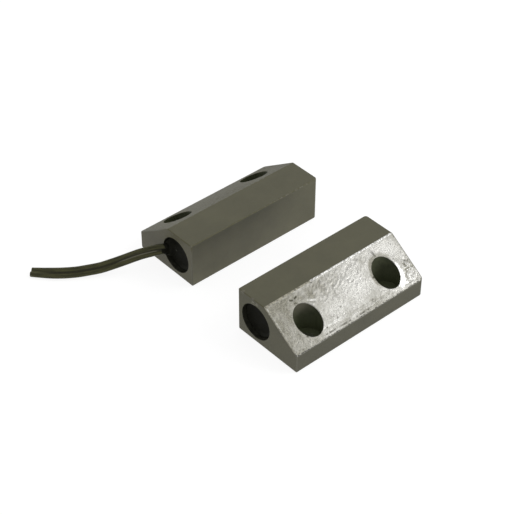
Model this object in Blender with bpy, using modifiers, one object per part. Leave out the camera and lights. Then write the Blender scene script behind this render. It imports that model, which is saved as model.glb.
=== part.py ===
"""Magnetic door contact: a reed switch and its magnet in a pair of handed cast housings.

Units are metres and +Z is up. The row's origin is the centre of the switch half's base.
The lead leaves the switch half at -X, and the two tall faces look at each other along Y.
Within a half, places are (along, inward, up): along from the lead end, inward from the
tall face, and up from the base.
"""

import math

import bmesh
import bpy
from mathutils import Vector

# Fits
CLEARANCE = 0.0003
OVERRUN = 0.0020

# Cast housings, one shape in two hands
HOUSING_LENGTH = 0.0500
TOP_FLAT = 0.0110
LOW_SIDE = 0.0061
CORNER_RADIUS = 0.0010
EDGE_BREAK = 0.0003

# Blind bore in the lead end, with the walls that stand beside and over it
BORE_DIAMETER = 0.0115
BORE_WALL = 0.00165
BORE_ROOF = 0.00205
MOUTH_CHAMFER = 0.00025

# Two screw holes, drilled square to the base through the slope, between the bore and the low side
SCREW_END_DISTANCE = 0.0097
WELL_WALL = 0.00105
WELL_LOW_WALL = 0.0017
COUNTERBORE_DIAMETER = 0.0086
SCREW_HOLE_DIAMETER = 0.0045
SEAT_THICKNESS = 0.0030

# The pair as it stands, with the door ajar
FACE_GAP = 0.0227
MAGNET_SHIFT = -0.0015

# Potting and the capsules that it seals in
POTTING_RECESS = 0.0013
POTTING_LENGTH = 0.0109
POTTING_DISH = 0.0003
POTTING_MENISCUS = 0.0012
CAPSULE_WALL = 0.00065
CAPSULE_END = 0.0009
CAPSULE_CHAMFER = 0.0004

# Reed switch
GLASS_DIAMETER = 0.0026
GLASS_LENGTH = 0.0145
GLASS_WALL = 0.0003
SEAL_LENGTH = 0.0012
SEAL_TAPER = 0.0009
SEAL_DIAMETER = 0.0020
REED_WIRE_DIAMETER = 0.0006
PADDLE_WIDTH = 0.0013
PADDLE_THICKNESS = 0.0003
CONTACT_GAP = 0.0003
CONTACT_OVERLAP = 0.0012
LEAD_OUT = 0.0032
BUFFER_WALL = 0.0004
BUFFER_LENGTH = 0.0128

# Soldered joints and their sleeves
SOLDER_LENGTH = 0.0026
SOLDER_DIAMETER = 0.0021
SOLDER_NECK_DIAMETER = 0.0016
SOLDER_LAP = 0.0011
JOINT_SLEEVE_LENGTH = 0.0031
JOINT_SLEEVE_WALL = 0.00025

# Twin lead
WIRE_DIAMETER = 0.0016
CONDUCTOR_DIAMETER = 0.0006
LEAD_ENTRY = 0.0020
CORE_STRAIGHT = 0.0008
STRIP_LENGTH = 0.0009
BEND_SPACE = 0.00215
EXIT_EDGE = 0.00095
EXIT_DROP = 0.0001
EXIT_ANGLE = math.radians(80.0)

# Middle of the twin lead from the potting to its cut end: out from the lead end, inward from
# the exit, up from the floor, and the angle at which its two cores stand one over the other
LEAD_ROUTE = (
    (0.0004, 0.0001, 0.00735, 78.0),
    (0.0027, 0.0015, 0.00710, 62.0),
    (0.0068, 0.0039, 0.00630, 50.0),
    (0.0112, 0.0067, 0.00460, 45.0),
    (0.0142, 0.0087, 0.00340, 45.0),
    (0.0171, 0.0105, 0.00250, 45.0),
    (0.0200, 0.0125, 0.00195, 45.0),
    (0.0228, 0.0143, 0.00165, 45.0),
    (0.0256, 0.0164, 0.00150, 43.0),
    (0.0281, 0.0186, 0.00140, 37.0),
    (0.0304, 0.0212, 0.00115, 19.0),
    (0.0327, 0.0240, 0.00090, 4.0),
)

# Bar magnet, and the room in front of it
MAGNET_SPACE = 0.002
MAGNET_CHAMFER = 0.0004

# Facets
BORE_FACETS = 48
HOLE_FACETS = 40
FINE_FACETS = 24
BLADE_FACETS = 12
WIRE_RESOLUTION = 2
CORNER_SEGMENTS = 4
SOLDER_RINGS = 8
ROUTE_STEPS = 2
EASE_STEPS = 8
BEND_STEPS = 10
BREAK_ANGLE = math.radians(30.0)
SHARP_ANGLE = math.radians(35.0)
BLADE_SQUARENESS = 0.35
WELD = 0.00001

# Sizes that follow from the ones above
BORE_RADIUS = BORE_DIAMETER / 2
BORE_INWARD = BORE_WALL + BORE_RADIUS
BORE_UP = BORE_WALL + BORE_RADIUS
SCREW_INWARD = BORE_WALL + BORE_DIAMETER + WELL_WALL + COUNTERBORE_DIAMETER / 2
HOUSING_WIDTH = SCREW_INWARD + COUNTERBORE_DIAMETER / 2 + WELL_LOW_WALL
HOUSING_HEIGHT = BORE_WALL + BORE_DIAMETER + BORE_ROOF
INSERT_RADIUS = BORE_RADIUS - CLEARANCE
EXIT_INWARD = BORE_INWARD + INSERT_RADIUS - EXIT_EDGE
EXIT_UP = BORE_UP - EXIT_DROP
CAPSULE_INNER_RADIUS = INSERT_RADIUS - CAPSULE_WALL
CAPSULE_MOUTH = POTTING_RECESS + POTTING_LENGTH + CLEARANCE
WIRE_RADIUS = WIRE_DIAMETER / 2
CONDUCTOR_RADIUS = CONDUCTOR_DIAMETER / 2
CORE_PITCH = WIRE_DIAMETER + CLEARANCE
REED_WIRE_RADIUS = REED_WIRE_DIAMETER / 2
GLASS_RADIUS = GLASS_DIAMETER / 2
BUFFER_INNER_RADIUS = GLASS_RADIUS + CLEARANCE
BUFFER_RADIUS = BUFFER_INNER_RADIUS + BUFFER_WALL
SOLDER_BORE_RADIUS = REED_WIRE_RADIUS + CLEARANCE
JOINT_SLEEVE_INNER_RADIUS = SOLDER_DIAMETER / 2 + CLEARANCE

# The reed lies against the capsule's wall on the sensing side, with its return core beside it
REED_INWARD = BORE_INWARD - (CAPSULE_INNER_RADIUS - CLEARANCE - BUFFER_RADIUS)
REED_UP = BORE_UP
RETURN_INWARD = REED_INWARD + BUFFER_RADIUS + CLEARANCE + WIRE_RADIUS
FRONT_SOLDER_START = CAPSULE_MOUTH + STRIP_LENGTH + CLEARANCE
GLASS_START = FRONT_SOLDER_START + SOLDER_LENGTH - SOLDER_LAP + LEAD_OUT
GLASS_END = GLASS_START + GLASS_LENGTH
GLASS_MIDDLE = (GLASS_START + GLASS_END) / 2
REAR_SOLDER_END = GLASS_END + LEAD_OUT + SOLDER_LENGTH - SOLDER_LAP
REED_PIVOT = GLASS_LENGTH / 2 - SEAL_LENGTH

# The return core ends past the reed, bends back in the capsule, and so sets the bore's depth
RETURN_END = REAR_SOLDER_END + CLEARANCE
BEND_START = RETURN_END + CLEARANCE
BEND_RADIUS = (RETURN_INWARD - REED_INWARD) / 2
BEND_CENTRE = BEND_START + CONDUCTOR_DIAMETER
CAPSULE_BACK = BEND_CENTRE + BEND_RADIUS + CONDUCTOR_RADIUS + BEND_SPACE + CAPSULE_END
CAPSULE_LENGTH = CAPSULE_BACK - CAPSULE_MOUTH
BORE_DEPTH = CAPSULE_BACK + CLEARANCE
MAGNET_LENGTH = CAPSULE_LENGTH - CAPSULE_END - CLEARANCE - MAGNET_SPACE


def clear_scene():
    for obj in list(bpy.data.objects):
        bpy.data.objects.remove(obj, do_unlink=True)


def collection(name):
    made = bpy.data.collections.new(name)
    bpy.context.scene.collection.children.link(made)
    return made


def material(name, colour, metallic=0.0, roughness=0.5):
    made = bpy.data.materials.new(name)
    made.use_nodes = True
    shader = made.node_tree.nodes["Principled BSDF"]
    shader.inputs["Base Color"].default_value = (*colour, 1.0)
    shader.inputs["Metallic"].default_value = metallic
    shader.inputs["Roughness"].default_value = roughness
    made.diffuse_color = (*colour, 1.0)
    return made


class Half:
    """One half of the pair. Its empty stands at the foot of the tall face, at the lead end."""

    def __init__(self, name, lead_end, tall_face, hand):
        self.hand = hand
        self.frame = bpy.data.objects.new(name, None)
        self.frame.location = (lead_end, tall_face, 0.0)
        PARTS.objects.link(self.frame)

    def local(self, along, inward, up):
        return Vector((along, self.hand * inward, up))

    def place(self, obj, along, inward, up):
        obj.parent = self.frame
        obj.location = self.local(along, inward, up)
        return obj


def add_object(name, data, finish=None, group=None):
    obj = bpy.data.objects.new(name, data)
    (group or PARTS).objects.link(obj)
    if finish:
        data.materials.append(finish)
    return obj


def shade(mesh):
    """Smooth on the round faces, sharp at the edges."""
    mesh.shade_smooth()
    mesh.set_sharp_from_angle(angle=SHARP_ANGLE)


def as_mesh(obj, finish=None, group=None):
    """Replace a curve, or an object with modifiers, by the closed mesh that it makes."""
    bpy.context.view_layer.update()
    evaluated = obj.evaluated_get(bpy.context.evaluated_depsgraph_get())
    mesh = bpy.data.meshes.new_from_object(evaluated)
    mesh.materials.clear()
    shape = bmesh.new()
    shape.from_mesh(mesh)
    bmesh.ops.remove_doubles(shape, verts=shape.verts, dist=WELD)
    bmesh.ops.recalc_face_normals(shape, faces=shape.faces)
    shape.to_mesh(mesh)
    shape.free()
    shade(mesh)
    name, parent, place, turn = obj.name, obj.parent, obj.location.copy(), obj.rotation_euler.copy()
    bpy.data.objects.remove(obj)
    solid = add_object(name, mesh, finish, group)
    solid.parent, solid.location, solid.rotation_euler = parent, place, turn
    return solid


def turned(name, profile, steps, along_x=True, closed=False, finish=None, group=None):
    """Spin a profile of (radius, height) about its own Z, which then points along +X or +Z."""
    mesh = bpy.data.meshes.new(name)
    edges = [(i, i + 1) for i in range(len(profile) - 1)]
    if closed:
        edges.append((len(profile) - 1, 0))
    mesh.from_pydata([(radius, 0.0, height) for radius, height in profile], edges, [])
    obj = add_object(name, mesh, group=group)
    spin = obj.modifiers.new("Turn", "SCREW")
    spin.axis = "Z"
    spin.steps = steps
    spin.render_steps = steps
    spin.use_merge_vertices = True
    spin.merge_threshold = WELD
    if along_x:
        obj.rotation_euler = (0.0, math.pi / 2, 0.0)
    return as_mesh(obj, finish, group)


def make_cutter(obj):
    obj.hide_render = True
    obj.display_type = "WIRE"
    return obj


def cut(obj, *cutters):
    for cutter in cutters:
        step = obj.modifiers.new("Cut " + cutter.name, "BOOLEAN")
        step.operation = "DIFFERENCE"
        step.solver = "EXACT"
        step.object = cutter


def wire(name, points, radius, finish=None, group=None):
    """A round wire with flat ends, through the given points."""
    curve = bpy.data.curves.new(name, "CURVE")
    curve.dimensions = "3D"
    curve.bevel_depth = radius
    curve.bevel_resolution = WIRE_RESOLUTION
    curve.use_fill_caps = True
    spline = curve.splines.new("POLY")
    spline.points.add(len(points) - 1)
    for target, point in zip(spline.points, points):
        target.co = (*point, 1.0)
    spline.use_smooth = True
    return add_object(name, curve, finish, group)


def housing_block(name, half, finish):
    """The cast block: its end outline drawn flat and drawn out along X, then its edges broken."""
    outline = (
        (0.0, 0.0),
        (HOUSING_WIDTH, 0.0),
        (HOUSING_WIDTH, LOW_SIDE),
        (TOP_FLAT, HOUSING_HEIGHT),
        (0.0, HOUSING_HEIGHT),
    )
    curve = bpy.data.curves.new(name, "CURVE")
    curve.dimensions = "2D"
    curve.fill_mode = "BOTH"
    curve.extrude = HOUSING_LENGTH / 2
    spline = curve.splines.new("POLY")
    spline.points.add(len(outline) - 1)
    for target, (inward, up) in zip(spline.points, outline):
        target.co = (half.hand * inward, up, 0.0, 1.0)
    spline.use_cyclic_u = True
    drawn = half.place(add_object(name, curve), HOUSING_LENGTH / 2, 0.0, 0.0)
    drawn.rotation_euler = (math.pi / 2, 0.0, math.pi / 2)
    block = as_mesh(drawn, finish)
    mark_far_corners(block.data)
    corners = block.modifiers.new("Far corners", "BEVEL")
    corners.limit_method = "WEIGHT"
    corners.width = CORNER_RADIUS
    corners.segments = CORNER_SEGMENTS
    edges = block.modifiers.new("Edge break", "BEVEL")
    edges.limit_method = "ANGLE"
    edges.angle_limit = BREAK_ANGLE
    edges.width = EDGE_BREAK
    edges.segments = 1
    return block


def mark_far_corners(mesh):
    """Mark the two upright corner edges of the far end: along the outline's own Y, at its top Z."""
    weights = mesh.attributes.new("bevel_weight_edge", "FLOAT", "EDGE")
    for edge in mesh.edges:
        ends = [mesh.vertices[index].co for index in edge.vertices]
        run = ends[1] - ends[0]
        upright = math.hypot(run.x, run.z) < WELD
        weights.data[edge.index].value = 1.0 if upright and ends[0].z > 0.0 else 0.0


def bore_cutter(name, half):
    mouth = BORE_RADIUS + MOUTH_CHAMFER
    profile = (
        (0.0, BORE_DEPTH),
        (BORE_RADIUS, BORE_DEPTH),
        (BORE_RADIUS, MOUTH_CHAMFER),
        (mouth, 0.0),
        (mouth, -OVERRUN),
        (0.0, -OVERRUN),
    )
    cutter = make_cutter(turned(name, profile, BORE_FACETS, group=CUTTERS))
    return half.place(cutter, 0.0, BORE_INWARD, BORE_UP)


def screw_hole_cutter(name, half, along):
    """Clearance hole, flat seat and counterbore in one stepped tool."""
    top = HOUSING_HEIGHT + OVERRUN
    profile = (
        (0.0, top),
        (COUNTERBORE_DIAMETER / 2, top),
        (COUNTERBORE_DIAMETER / 2, SEAT_THICKNESS),
        (SCREW_HOLE_DIAMETER / 2, SEAT_THICKNESS),
        (SCREW_HOLE_DIAMETER / 2, -OVERRUN),
        (0.0, -OVERRUN),
    )
    cutter = make_cutter(turned(name, profile, HOLE_FACETS, along_x=False, group=CUTTERS))
    return half.place(cutter, along, SCREW_INWARD, 0.0)


def housing(name, half, finish):
    block = housing_block(name, half, finish)
    holes = (SCREW_END_DISTANCE, HOUSING_LENGTH - SCREW_END_DISTANCE)
    cut(block, bore_cutter(name + "_bore", half))
    for number, along in enumerate(holes, 1):
        cut(block, screw_hole_cutter(f"{name}_screw_hole_{number}", half, along))
    return block


def capsule(name, half, finish):
    """Moulded plastic tube with a closed back end, a push fit in the bore."""
    profile = (
        (0.0, CAPSULE_LENGTH),
        (INSERT_RADIUS - CAPSULE_CHAMFER, CAPSULE_LENGTH),
        (INSERT_RADIUS, CAPSULE_LENGTH - CAPSULE_CHAMFER),
        (INSERT_RADIUS, 0.0),
        (CAPSULE_INNER_RADIUS, 0.0),
        (CAPSULE_INNER_RADIUS, CAPSULE_LENGTH - CAPSULE_END),
        (0.0, CAPSULE_LENGTH - CAPSULE_END),
    )
    return half.place(turned(name, profile, BORE_FACETS, finish=finish), CAPSULE_MOUTH, BORE_INWARD, BORE_UP)


def potting(name, half, finish):
    """Resin poured into the mouth of the bore. Its face is dished and creeps up the wall."""
    profile = (
        (0.0, POTTING_LENGTH),
        (INSERT_RADIUS, POTTING_LENGTH),
        (INSERT_RADIUS, 0.0),
        (INSERT_RADIUS - POTTING_MENISCUS, POTTING_DISH),
        (0.0, POTTING_DISH),
    )
    return half.place(turned(name, profile, BORE_FACETS, finish=finish), POTTING_RECESS, BORE_INWARD, BORE_UP)


def bar_magnet(name, half, finish):
    radius = CAPSULE_INNER_RADIUS - CLEARANCE
    profile = (
        (0.0, MAGNET_LENGTH),
        (radius - MAGNET_CHAMFER, MAGNET_LENGTH),
        (radius, MAGNET_LENGTH - MAGNET_CHAMFER),
        (radius, MAGNET_CHAMFER),
        (radius - MAGNET_CHAMFER, 0.0),
        (0.0, 0.0),
    )
    start = CAPSULE_BACK - CAPSULE_END - CLEARANCE - MAGNET_LENGTH
    return half.place(turned(name, profile, BORE_FACETS, finish=finish), start, BORE_INWARD, BORE_UP)


def reed_glass(name, half, finish):
    """Glass envelope, drawn down to a seal round the blade at each end."""
    body = GLASS_LENGTH - SEAL_LENGTH - SEAL_TAPER
    inner = GLASS_RADIUS - GLASS_WALL
    pinch = REED_WIRE_RADIUS + CLEARANCE
    profile = (
        (SEAL_DIAMETER / 2, GLASS_LENGTH),
        (GLASS_RADIUS, GLASS_LENGTH - SEAL_LENGTH / 2),
        (GLASS_RADIUS, SEAL_LENGTH / 2),
        (SEAL_DIAMETER / 2, 0.0),
        (pinch, 0.0),
        (pinch, SEAL_LENGTH),
        (inner, SEAL_LENGTH + SEAL_TAPER),
        (inner, body),
        (pinch, GLASS_LENGTH - SEAL_LENGTH),
        (pinch, GLASS_LENGTH),
    )
    glass = turned(name, profile, FINE_FACETS, closed=True, finish=finish)
    return half.place(glass, GLASS_START, REED_INWARD, REED_UP)


def reed_sleeve(name, half, start, length, inner_radius, wall, finish):
    """A short sleeve round the reed's axis."""
    outer = inner_radius + wall
    profile = ((outer, length), (outer, 0.0), (inner_radius, 0.0), (inner_radius, length))
    sleeve = turned(name, profile, FINE_FACETS, closed=True, finish=finish)
    return half.place(sleeve, start, REED_INWARD, REED_UP)


def solder_joint(name, half, start, finish):
    """A bead of solder, fat in the middle, that the blade's wire and the core's end meet in."""
    waist = SOLDER_DIAMETER / 2 - SOLDER_NECK_DIAMETER / 2
    profile = []
    for ring in range(SOLDER_RINGS + 1):
        height = SOLDER_LENGTH * (1 - ring / SOLDER_RINGS)
        swell = math.sin(math.pi * ring / SOLDER_RINGS)
        profile.append((SOLDER_NECK_DIAMETER / 2 + waist * swell, height))
    profile += [(SOLDER_BORE_RADIUS, 0.0), (SOLDER_BORE_RADIUS, SOLDER_LENGTH)]
    bead = turned(name, profile, FINE_FACETS, closed=True, finish=finish)
    return half.place(bead, start, REED_INWARD, REED_UP)


def section_ring(shape, along, half_width, half_height, rise):
    """One ring of a blade. Rings with the same count can be bridged."""
    ring = []
    for step in range(BLADE_FACETS):
        angle = 2 * math.pi * (step + 0.5) / BLADE_FACETS
        side, top = math.cos(angle), math.sin(angle)
        # A superellipse: round for the wire, and near to a rectangle where it is pressed flat
        power = 1.0 if math.isclose(half_width, half_height) else BLADE_SQUARENESS
        y = half_width * math.copysign(abs(side) ** power, side)
        z = half_height * math.copysign(abs(top) ** power, top) + rise
        ring.append(shape.verts.new((along, y, z)))
    return ring


def reed_blade(name, half, pivot_along, toward, rise, finish):
    """A round iron wire whose inner length is pressed flat, hinged where the glass grips it."""
    tip = REED_PIVOT + CONTACT_OVERLAP / 2
    outer_end = SEAL_LENGTH + LEAD_OUT
    round_half = REED_WIRE_RADIUS
    flat = (PADDLE_WIDTH / 2, PADDLE_THICKNESS / 2, rise)
    round_wire = (round_half, round_half, 0.0)
    stations = (
        (-outer_end, *round_wire),
        (0.0, *round_wire),
        (SEAL_TAPER + PADDLE_THICKNESS, *flat),
        (tip, *flat),
    )
    mesh = bpy.data.meshes.new(name)
    shape = bmesh.new()
    rings = [section_ring(shape, toward * along, *section) for along, *section in stations]
    for first, second in zip(rings, rings[1:]):
        for index in range(len(first)):
            after = (index + 1) % len(first)
            shape.faces.new((first[index], first[after], second[after], second[index]))
    shape.faces.new(rings[0])
    shape.faces.new(rings[-1])
    bmesh.ops.recalc_face_normals(shape, faces=shape.faces)
    shape.to_mesh(mesh)
    shape.free()
    shade(mesh)
    return half.place(add_object(name, mesh, finish), pivot_along, REED_INWARD, REED_UP)


def smooth_path(points, steps):
    """Points along a Catmull-Rom curve through the given ones, a few to each stretch."""
    path = []
    padded = [points[0] * 2 - points[1], *points, points[-1] * 2 - points[-2]]
    for before, start, end, after in zip(padded, padded[1:], padded[2:], padded[3:]):
        for step in range(steps):
            t = step / steps
            path.append(0.5 * (
                2 * start
                + (end - before) * t
                + (2 * before - 5 * start + 4 * end - after) * t ** 2
                + (3 * start - before - 3 * end + after) * t ** 3
            ))
    path.append(points[-1].copy())
    return path


def core_in_potting(half, side, along, turned_by):
    """A core's place as the pair turns flat and parts, from 0 at its exit to 1 at the capsule."""
    lines_middle = (REED_INWARD + RETURN_INWARD) / 2
    lines_spread = (RETURN_INWARD - REED_INWARD) / 2
    angle = EXIT_ANGLE * (1 - turned_by)
    spread = side * (CORE_PITCH / 2 * (1 - turned_by) + lines_spread * turned_by)
    inward = EXIT_INWARD + (lines_middle - EXIT_INWARD) * turned_by + spread * math.cos(angle)
    up = EXIT_UP + (REED_UP - EXIT_UP) * turned_by + spread * math.sin(angle)
    return half.local(along, inward, up)


def exit_core(half, side):
    """Where a core leaves the potting: the pair stands nearly upright, against the bore's wall."""
    return core_in_potting(half, side, POTTING_RECESS, 0.0)


def free_core_path(half, side):
    """One core of the twin lead, from inside the potting to its cut end."""
    leave = exit_core(half, side)
    inside = leave + Vector((LEAD_ENTRY, 0.0, 0.0))
    middles = [half.local(POTTING_RECESS, EXIT_INWARD, EXIT_UP)]
    angles = [EXIT_ANGLE]
    for out, offset, up, angle in LEAD_ROUTE:
        middles.append(half.local(-out, EXIT_INWARD + offset, up))
        angles.append(math.radians(angle))
    points = [inside, leave]
    for number in range(1, len(middles)):
        ahead = middles[min(number + 1, len(middles) - 1)]
        run = (ahead - middles[number - 1]).normalized()
        level = Vector((run.y, -run.x, 0.0)).normalized() * half.hand
        spread = level * math.cos(angles[number]) + Vector((0.0, 0.0, math.sin(angles[number])))
        points.append(middles[number] + spread * side * CORE_PITCH / 2)
    return smooth_path(points, ROUTE_STEPS)


def inner_core_path(half, side, end_along):
    """The same core on its way through the potting, eased over to its line in the capsule."""
    start_along = POTTING_RECESS + LEAD_ENTRY + CLEARANCE
    ease_from = start_along + CORE_STRAIGHT
    ease_to = CAPSULE_MOUTH - CORE_STRAIGHT
    path = [core_in_potting(half, side, start_along, 0.0)]
    for step in range(EASE_STEPS + 1):
        t = step / EASE_STEPS
        along = ease_from + (ease_to - ease_from) * t
        path.append(core_in_potting(half, side, along, t * t * (3 - 2 * t)))
    path.append(core_in_potting(half, side, end_along, 1.0))
    return path


def straight(half, start, end, inward):
    return [half.local(start, inward, REED_UP), half.local(end, inward, REED_UP)]


def return_bend(half, end_along):
    """The stripped end of the return core: out, round in a half circle and back to the joint."""
    middle = REED_INWARD + BEND_RADIUS
    path = [half.local(BEND_START, RETURN_INWARD, REED_UP)]
    for step in range(BEND_STEPS + 1):
        angle = math.pi * step / BEND_STEPS
        along = BEND_CENTRE + BEND_RADIUS * math.sin(angle)
        path.append(half.local(along, middle + BEND_RADIUS * math.cos(angle), REED_UP))
    path.append(half.local(end_along, REED_INWARD, REED_UP))
    return path


def passage(name, half, path, group):
    """The way that a core takes through the resin, with its clearance."""
    tool = half.place(wire(name, path, WIRE_RADIUS + CLEARANCE, group=group), 0.0, 0.0, 0.0)
    return make_cutter(as_mesh(tool, group=group))


def switch_half(half, finishes):
    housing("switch_housing", half, finishes["cast"])
    capsule("switch_capsule", half, finishes["moulding"])
    resin = potting("switch_potting", half, finishes["resin"])

    for name, side, end_along in (("front", -1, CAPSULE_MOUTH), ("rear", 1, RETURN_END)):
        free = free_core_path(half, side)
        inner = inner_core_path(half, side, end_along)
        place_wire("lead_core_" + name, half, free, WIRE_RADIUS, finishes["insulation"])
        place_wire("inner_core_" + name, half, inner, WIRE_RADIUS, finishes["insulation"])
        through = [exit_core(half, side) - Vector((OVERRUN, 0.0, 0.0)), *inner]
        cut(resin, passage("passage_" + name, half, through, CUTTERS))

    joint_middle = FRONT_SOLDER_START + SOLDER_LENGTH - SOLDER_LAP - CLEARANCE
    front_strip = straight(half, CAPSULE_MOUTH + CLEARANCE, joint_middle, REED_INWARD)
    place_wire("bared_core_front", half, front_strip, CONDUCTOR_RADIUS, finishes["copper"])
    rear_tip = REAR_SOLDER_END - SOLDER_LENGTH + SOLDER_LAP + CLEARANCE
    rear_strip = return_bend(half, rear_tip)
    place_wire("bared_core_rear", half, rear_strip, CONDUCTOR_RADIUS, finishes["copper"])

    starts = {"front": FRONT_SOLDER_START, "rear": REAR_SOLDER_END - SOLDER_LENGTH}
    overhang = (JOINT_SLEEVE_LENGTH - SOLDER_LENGTH) / 2
    for name, start in starts.items():
        solder_joint("solder_joint_" + name, half, start, finishes["solder"])
        reed_sleeve("joint_sleeve_" + name, half, start - overhang, JOINT_SLEEVE_LENGTH,
                    JOINT_SLEEVE_INNER_RADIUS, JOINT_SLEEVE_WALL, finishes["sleeve"])

    reed_glass("reed_glass", half, finishes["glass"])
    reed_sleeve("reed_buffer", half, GLASS_MIDDLE - BUFFER_LENGTH / 2, BUFFER_LENGTH,
                BUFFER_INNER_RADIUS, BUFFER_WALL, finishes["silicone"])
    rise = (PADDLE_THICKNESS + CONTACT_GAP) / 2
    reed_blade("reed_blade_front", half, GLASS_MIDDLE - REED_PIVOT, 1, -rise, finishes["reed"])
    reed_blade("reed_blade_rear", half, GLASS_MIDDLE + REED_PIVOT, -1, rise, finishes["reed"])


def place_wire(name, half, path, radius, finish):
    return half.place(wire(name, path, radius, finish), 0.0, 0.0, 0.0)


def magnet_half(half, finishes):
    housing("magnet_housing", half, finishes["cast"])
    capsule("magnet_capsule", half, finishes["moulding"])
    potting("magnet_potting", half, finishes["resin"])
    bar_magnet("bar_magnet", half, finishes["magnet"])


def make_finishes():
    return {
        "cast": material("cast aluminium", (0.20, 0.20, 0.17), 0.9, 0.45),
        "resin": material("black potting resin", (0.008, 0.008, 0.007), 0.0, 0.35),
        "moulding": material("black moulded plastic", (0.02, 0.02, 0.02), 0.0, 0.5),
        "insulation": material("olive grey insulation", (0.075, 0.075, 0.045), 0.0, 0.4),
        "copper": material("tinned copper", (0.75, 0.55, 0.42), 1.0, 0.3),
        "solder": material("solder", (0.62, 0.63, 0.65), 1.0, 0.3),
        "sleeve": material("heat shrink sleeve", (0.03, 0.03, 0.03), 0.0, 0.6),
        "silicone": material("silicone sleeve", (0.55, 0.53, 0.48), 0.0, 0.6),
        "glass": material("reed glass", (0.30, 0.55, 0.35), 0.0, 0.1),
        "reed": material("nickel iron reed", (0.60, 0.57, 0.50), 1.0, 0.3),
        "magnet": material("alnico magnet", (0.32, 0.31, 0.30), 1.0, 0.4),
    }


clear_scene()
PARTS = collection("magnetic_door_contact")
CUTTERS = collection("cutters")

FINISHES = make_finishes()
SWITCH = Half("switch_half", -HOUSING_LENGTH / 2, -HOUSING_WIDTH / 2, 1)
MAGNET = Half("magnet_half", -HOUSING_LENGTH / 2 + MAGNET_SHIFT, -HOUSING_WIDTH / 2 - FACE_GAP, -1)
switch_half(SWITCH, FINISHES)
magnet_half(MAGNET, FINISHES)
bpy.context.view_layer.update()
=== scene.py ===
"""Magnetic door contact: two cast housings in opposite hands, one with a potted twin lead.

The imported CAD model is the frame, in metres. Places within a housing are (along, inward, up):
along from the lead end, inward from the tall face and up from the base.
"""

import math

import bmesh
import bpy
from mathutils import Matrix, Vector, noise


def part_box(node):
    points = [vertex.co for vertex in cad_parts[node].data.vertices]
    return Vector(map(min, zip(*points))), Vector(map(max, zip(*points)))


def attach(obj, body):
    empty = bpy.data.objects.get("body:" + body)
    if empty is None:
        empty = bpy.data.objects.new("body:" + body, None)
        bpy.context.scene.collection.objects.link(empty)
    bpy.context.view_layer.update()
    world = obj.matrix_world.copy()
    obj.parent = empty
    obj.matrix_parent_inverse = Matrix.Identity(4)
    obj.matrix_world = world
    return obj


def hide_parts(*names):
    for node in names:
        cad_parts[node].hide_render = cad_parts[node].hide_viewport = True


bl_info = {
    "name": "Magnetic door contact",
    "version": (1, 0, 0),
    "blender": (4, 5, 0),
    "location": "3D View > Sidebar > Door contact",
    "description": "Models the castings, resin and twin lead of a magnetic door contact",
    "category": "Add Mesh",
}

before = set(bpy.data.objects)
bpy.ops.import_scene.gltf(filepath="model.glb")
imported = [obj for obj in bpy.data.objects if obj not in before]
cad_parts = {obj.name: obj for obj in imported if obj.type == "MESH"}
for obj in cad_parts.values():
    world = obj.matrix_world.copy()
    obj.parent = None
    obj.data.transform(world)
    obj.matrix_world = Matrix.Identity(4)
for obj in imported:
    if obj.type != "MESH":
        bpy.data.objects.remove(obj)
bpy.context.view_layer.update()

# Material slots of a casting, and of the lead
LACQUER, SLOPE, EDGE, SLOPE_EDGE, HOLE_WALL, BORE_SKIN = range(6)
INSULATED, SMEARED = range(2)

# Lacquer inside the wells, painted darker as their shade, and the bores' walls, dark as smeared
# resin and as painted shade
WELL_SHADE_COLOUR = (0.050, 0.056, 0.029)
BORE_SMEAR_AND_SHADE_COLOUR = (0.022, 0.022, 0.016)

# How close to a face a point counts as on it
TOUCHING = 1e-5

# Fixed shape of the castings, as the CAD has it
TOP_FLAT = 0.0110
LOW_SIDE = 0.0061
BORE_RADIUS = 0.00575
BORE_INWARD = 0.0074
BORE_UP = 0.0074
BORE_DEPTH = 0.0440
SCREW_ALONG = (0.0097, 0.0403)
SCREW_INWARD = 0.0185
COUNTERBORE_RADIUS = 0.0043
SCREW_HOLE_RADIUS = 0.00225
SEAT_UP = 0.0030
OVERRUN = 0.0020
BORE_FACETS = 96
COUNTERBORE_FACETS = 80
SCREW_HOLE_FACETS = 56
SHARP_TURN = math.radians(30.0)

# Where the twin lead leaves the resin, and its way to the cut end: out from the lead end, inward
# from the exit, up from the floor, and the angle at which its cores stand one over the other
EXIT_INWARD = 0.0119
LEAD_ROUTE = (
    (-0.0033, 0.0000, 0.00730, 80.0),
    (-0.0013, 0.0000, 0.00730, 80.0),
    (0.0004, 0.0001, 0.00735, 78.0),
    (0.0027, 0.0015, 0.00710, 62.0),
    (0.0068, 0.0039, 0.00630, 50.0),
    (0.0112, 0.0067, 0.00460, 45.0),
    (0.0142, 0.0087, 0.00340, 45.0),
    (0.0171, 0.0105, 0.00250, 45.0),
    (0.0200, 0.0125, 0.00195, 45.0),
    (0.0228, 0.0143, 0.00165, 45.0),
    (0.0256, 0.0164, 0.00150, 43.0),
    (0.0281, 0.0186, 0.00140, 37.0),
    (0.0304, 0.0212, 0.00115, 19.0),
    (0.0327, 0.0240, 0.00090, 4.0),
)
LEAD_STEPS = 10

# Copper strands in each core, one in the middle of the rest
STRANDS = 7
STRAND_LENGTH = 0.0009
STRAND_SHOWS = 0.00015

# The resin's face: the width of the rings that it is cut into, and on the switch half a raised spot
# painted light as a highlight, lumps and the blob that has run over the rim. The spot and the lumps
# are placed inward and up from the bore's middle, and a lump has a reach and a height.
RESIN_RING = 0.00028
HIGHLIGHT_SPOT_INWARD = 0.00175
HIGHLIGHT_SPOT_UP = -0.00010
RESIN_LUMPS = (
    (0.0034, -0.0022, 0.0011, 0.0006),
    (0.0040, -0.0028, 0.0008, 0.0005),
    (0.0026, 0.0012, 0.0010, 0.0003),
)
BLOB_PLACE = (-0.0001, BORE_INWARD + 0.0051, BORE_UP - 0.0019)
BLOB_SIZE = (0.0006, 0.00095, 0.0008)

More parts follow.
